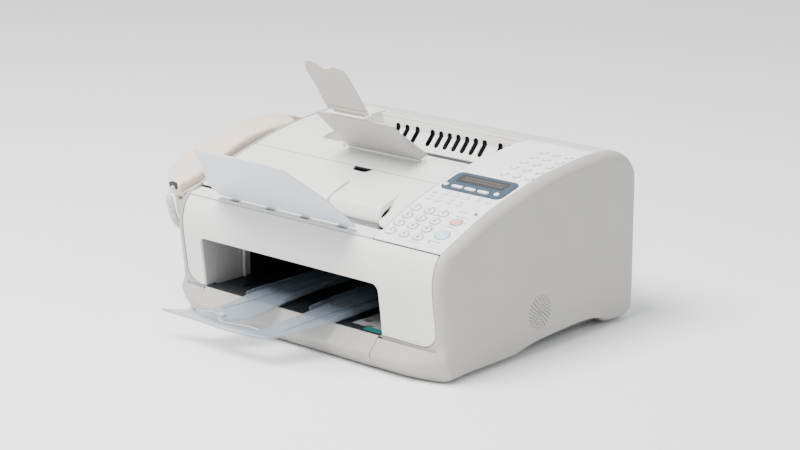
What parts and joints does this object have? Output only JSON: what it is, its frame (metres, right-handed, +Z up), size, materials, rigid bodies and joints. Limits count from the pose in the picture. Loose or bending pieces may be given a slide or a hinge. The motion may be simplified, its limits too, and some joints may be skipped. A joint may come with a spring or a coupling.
{
  "type": "fax machine",
  "caption": "Desktop laser fax machine with a side handset, front paper bay, sloping document tray, hinged print tray and a key panel with a display.",
  "frame": {"origin": "on the desk under the middle of the machine's overall box, without the handset cord", "axes": "+X to the machine's right as seen from its front, +Y from the front to the back, +Z up"},
  "size_m": [0.431, 0.3873, 0.2867],
  "materials": {
    "shell_white": "fine satin moulded",
    "shell_light": "fine satin moulded",
    "shell_grey": "fine matte moulded",
    "frame_grey": "matte moulded",
    "bay_dark": "matte moulded",
    "rubber": "matte",
    "handset_beige": "satin moulded",
    "tongue_grey": "satin moulded",
    "clear_pale": "clear frosted",
    "smoke_clear": "clear smoke tinted",
    "bezel_blue": "satin printed",
    "glass_dark": "polished window",
    "key_white": "satin moulded",
    "key_blue": "satin translucent",
    "key_red": "satin translucent",
    "socket_black": "matte moulded",
    "cartridge_black": "matte moulded",
    "cord_white": "smooth vinyl"
  },
  "bodies": {
    "root": {"base_pan": "frame_grey", "left_side_cover": "shell_grey", "right_side_cover": "shell_grey", "chin_cover": "shell_grey", "bay_liner": "bay_dark", "document_bed": "shell_white", "top_rear_cover": "shell_white", "rear_cover": "shell_grey", "power_inlet": "socket_black", "line_jacks": "socket_black", "operation_panel": "shell_white", "display_bezel": "bezel_blue", "display_window": "glass_dark", "toner_cartridge": "cartridge_black", "handset_cradle": "handset_beige", "handset_cord": "cord_white"},
    "front_cover": {"front_cover": "shell_white"},
    "adf_cover": {"adf_cover": "shell_white"},
    "document_guide": {"document_guide": "shell_light"},
    "document_tray": {"document_tray": "clear_pale"},
    "output_tray": {"output_tray": "shell_white"},
    "output_extension": {"output_extension": "tongue_grey"},
    "paper_tray": {"paper_tray": "smoke_clear"},
    "feed_roller": {"feed_roller": "rubber"},
    "exit_roller": {"exit_roller": "rubber"},
    "handset": {"handset": "handset_beige"},
    "hook_switch": {"hook_switch": "key_white"},
    "key_1": {"key_1": "key_white"},
    "key_2": {"key_2": "key_white"},
    "key_3": {"key_3": "key_white"},
    "key_4": {"key_4": "key_white"},
    "key_5": {"key_5": "key_white"},
    "key_6": {"key_6": "key_white"},
    "key_7": {"key_7": "key_white"},
    "key_8": {"key_8": "key_white"},
    "key_9": {"key_9": "key_white"},
    "key_s": {"key_s": "key_white"},
    "key_0": {"key_0": "key_white"},
    "key_p": {"key_p": "key_white"},
    "one_touch_01": {"one_touch_01": "key_white"},
    "one_touch_02": {"one_touch_02": "key_white"},
    "one_touch_03": {"one_touch_03": "key_white"},
    "one_touch_04": {"one_touch_04": "key_white"},
    "one_touch_05": {"one_touch_05": "key_white"},
    "one_touch_06": {"one_touch_06": "key_white"},
    "one_touch_07": {"one_touch_07": "key_white"},
    "one_touch_08": {"one_touch_08": "key_white"},
    "one_touch_09": {"one_touch_09": "key_white"},
    "one_touch_10": {"one_touch_10": "key_white"},
    "one_touch_11": {"one_touch_11": "key_white"},
    "one_touch_12": {"one_touch_12": "key_white"},
    "one_touch_13": {"one_touch_13": "key_white"},
    "one_touch_14": {"one_touch_14": "key_white"},
    "one_touch_15": {"one_touch_15": "key_white"},
    "stop_key": {"stop_key": "key_red"},
    "start_key": {"start_key": "key_blue"},
    "display_key_1": {"display_key_1": "key_white"},
    "display_key_2": {"display_key_2": "key_white"},
    "display_key_3": {"display_key_3": "key_white"}
  },
  "joints": [
    {"name": "front_cover_hinge", "type": "hinge", "parent": "root", "child": "front_cover", "pos_m": [0.0275, -0.11225, 0.037], "axis": [1, 0, 0], "range_deg": [0, 65]},
    {"name": "adf_cover_hinge", "type": "hinge", "parent": "root", "child": "adf_cover", "pos_m": [-0.0155, -0.01125, 0.16736], "axis": [-1, 0, 0], "range_deg": [0, 50]},
    {"name": "document_guide_slide", "type": "slide", "parent": "adf_cover", "child": "document_guide", "axis": [-1, 0, 0], "range_m": [0, 0.105]},
    {"name": "document_tray_hinge", "type": "hinge", "parent": "root", "child": "document_tray", "pos_m": [-0.0025, -0.10125, 0.133], "axis": [-1, 0, 0], "range_deg": [0, 55]},
    {"name": "output_tray_hinge", "type": "hinge", "parent": "root", "child": "output_tray", "pos_m": [0.013, 0.01925, 0.1786], "axis": [-1, 0, 0], "range_deg": [-50, 0]},
    {"name": "output_extension_hinge", "type": "hinge", "parent": "output_tray", "child": "output_extension", "pos_m": [0.007, -0.02645, 0.2263], "axis": [-1, 0, 0], "range_deg": [0, 155]},
    {"name": "paper_tray_slide", "type": "slide", "parent": "root", "child": "paper_tray", "axis": [0, -1, 0], "range_m": [0, 0.1]},
    {"name": "feed_roller_spin", "type": "hinge", "parent": "root", "child": "feed_roller", "pos_m": [0.0075, -0.05675, 0.128], "axis": [1, 0, 0], "continuous": true},
    {"name": "exit_roller_spin", "type": "hinge", "parent": "root", "child": "exit_roller", "pos_m": [0.0255, 0.08625, 0.1495], "axis": [1, 0, 0], "continuous": true},
    {"name": "handset_lift", "type": "slide", "parent": "root", "child": "handset", "axis": [0, 0, 1], "range_m": [0, 0.08]},
    {"name": "hook_switch_press", "type": "slide", "parent": "root", "child": "hook_switch", "axis": [0, 0.2419, -0.9703], "range_m": [0, 0.004], "stiffness_N_per_m": 150},
    {"name": "key_1_press", "type": "slide", "parent": "root", "child": "key_1", "axis": [0, 0.353, -0.9356], "range_m": [0, 0.001], "stiffness_N_per_m": 400},
    {"name": "key_2_press", "type": "slide", "parent": "root", "child": "key_2", "axis": [0, 0.353, -0.9356], "range_m": [0, 0.001], "stiffness_N_per_m": 400},
    {"name": "key_3_press", "type": "slide", "parent": "root", "child": "key_3", "axis": [0, 0.353, -0.9356], "range_m": [0, 0.001], "stiffness_N_per_m": 400},
    {"name": "key_4_press", "type": "slide", "parent": "root", "child": "key_4", "axis": [0, 0.3976, -0.9176], "range_m": [0, 0.001], "stiffness_N_per_m": 400},
    {"name": "key_5_press", "type": "slide", "parent": "root", "child": "key_5", "axis": [0, 0.3976, -0.9176], "range_m": [0, 0.001], "stiffness_N_per_m": 400},
    {"name": "key_6_press", "type": "slide", "parent": "root", "child": "key_6", "axis": [0, 0.3976, -0.9176], "range_m": [0, 0.001], "stiffness_N_per_m": 400},
    {"name": "key_7_press", "type": "slide", "parent": "root", "child": "key_7", "axis": [0, 0.3976, -0.9176], "range_m": [0, 0.001], "stiffness_N_per_m": 400},
    {"name": "key_8_press", "type": "slide", "parent": "root", "child": "key_8", "axis": [0, 0.3976, -0.9176], "range_m": [0, 0.001], "stiffness_N_per_m": 400},
    {"name": "key_9_press", "type": "slide", "parent": "root", "child": "key_9", "axis": [0, 0.3976, -0.9176], "range_m": [0, 0.001], "stiffness_N_per_m": 400},
    {"name": "key_s_press", "type": "slide", "parent": "root", "child": "key_s", "axis": [0, 0.3953, -0.9186], "range_m": [0, 0.001], "stiffness_N_per_m": 400},
    {"name": "key_0_press", "type": "slide", "parent": "root", "child": "key_0", "axis": [0, 0.3953, -0.9186], "range_m": [0, 0.001], "stiffness_N_per_m": 400},
    {"name": "key_p_press", "type": "slide", "parent": "root", "child": "key_p", "axis": [0, 0.3953, -0.9186], "range_m": [0, 0.001], "stiffness_N_per_m": 400},
    {"name": "one_touch_01_press", "type": "slide", "parent": "root", "child": "one_touch_01", "axis": [0, 0.1934, -0.9811], "range_m": [0, 0.001], "stiffness_N_per_m": 400},
    {"name": "one_touch_02_press", "type": "slide", "parent": "root", "child": "one_touch_02", "axis": [0, 0.1934, -0.9811], "range_m": [0, 0.001], "stiffness_N_per_m": 400},
    {"name": "one_touch_03_press", "type": "slide", "parent": "root", "child": "one_touch_03", "axis": [0, 0.1934, -0.9811], "range_m": [0, 0.001], "stiffness_N_per_m": 400},
    {"name": "one_touch_04_press", "type": "slide", "parent": "root", "child": "one_touch_04", "axis": [0, 0.1934, -0.9811], "range_m": [0, 0.001], "stiffness_N_per_m": 400},
    {"name": "one_touch_05_press", "type": "slide", "parent": "root", "child": "one_touch_05", "axis": [0, 0.1934, -0.9811], "range_m": [0, 0.001], "stiffness_N_per_m": 400},
    {"name": "one_touch_06_press", "type": "slide", "parent": "root", "child": "one_touch_06", "axis": [0, 0.1934, -0.9811], "range_m": [0, 0.001], "stiffness_N_per_m": 400},
    {"name": "one_touch_07_press", "type": "slide", "parent": "root", "child": "one_touch_07", "axis": [0, 0.1154, -0.9933], "range_m": [0, 0.001], "stiffness_N_per_m": 400},
    {"name": "one_touch_08_press", "type": "slide", "parent": "root", "child": "one_touch_08", "axis": [0, 0.1154, -0.9933], "range_m": [0, 0.001], "stiffness_N_per_m": 400},
    {"name": "one_touch_09_press", "type": "slide", "parent": "root", "child": "one_touch_09", "axis": [0, 0.1154, -0.9933], "range_m": [0, 0.001], "stiffness_N_per_m": 400},
    {"name": "one_touch_10_press", "type": "slide", "parent": "root", "child": "one_touch_10", "axis": [0, 0.1154, -0.9933], "range_m": [0, 0.001], "stiffness_N_per_m": 400},
    {"name": "one_touch_11_press", "type": "slide", "parent": "root", "child": "one_touch_11", "axis": [0, 0.1154, -0.9933], "range_m": [0, 0.001], "stiffness_N_per_m": 400},
    {"name": "one_touch_12_press", "type": "slide", "parent": "root", "child": "one_touch_12", "axis": [0, 0.1154, -0.9933], "range_m": [0, 0.001], "stiffness_N_per_m": 400},
    {"name": "one_touch_13_press", "type": "slide", "parent": "root", "child": "one_touch_13", "axis": [0, 0.0877, -0.9962], "range_m": [0, 0.001], "stiffness_N_per_m": 400},
    {"name": "one_touch_14_press", "type": "slide", "parent": "root", "child": "one_touch_14", "axis": [0, 0.0877, -0.9962], "range_m": [0, 0.001], "stiffness_N_per_m": 400},
    {"name": "one_touch_15_press", "type": "slide", "parent": "root", "child": "one_touch_15", "axis": [0, 0.0877, -0.9962], "range_m": [0, 0.001], "stiffness_N_per_m": 400},
    {"name": "stop_key_press", "type": "slide", "parent": "root", "child": "stop_key", "axis": [0, 0.3878, -0.9217], "range_m": [0, 0.001], "stiffness_N_per_m": 400},
    {"name": "start_key_press", "type": "slide", "parent": "root", "child": "start_key", "axis": [0, 0.3976, -0.9176], "range_m": [0, 0.001], "stiffness_N_per_m": 400},
    {"name": "display_key_1_press", "type": "slide", "parent": "root", "child": "display_key_1", "axis": [0, 0.272, -0.9623], "range_m": [0, 0.001], "stiffness_N_per_m": 400},
    {"name": "display_key_2_press", "type": "slide", "parent": "root", "child": "display_key_2", "axis": [0, 0.272, -0.9623], "range_m": [0, 0.001], "stiffness_N_per_m": 400},
    {"name": "display_key_3_press", "type": "slide", "parent": "root", "child": "display_key_3", "axis": [0, 0.272, -0.9623], "range_m": [0, 0.001], "stiffness_N_per_m": 400}
  ]
}
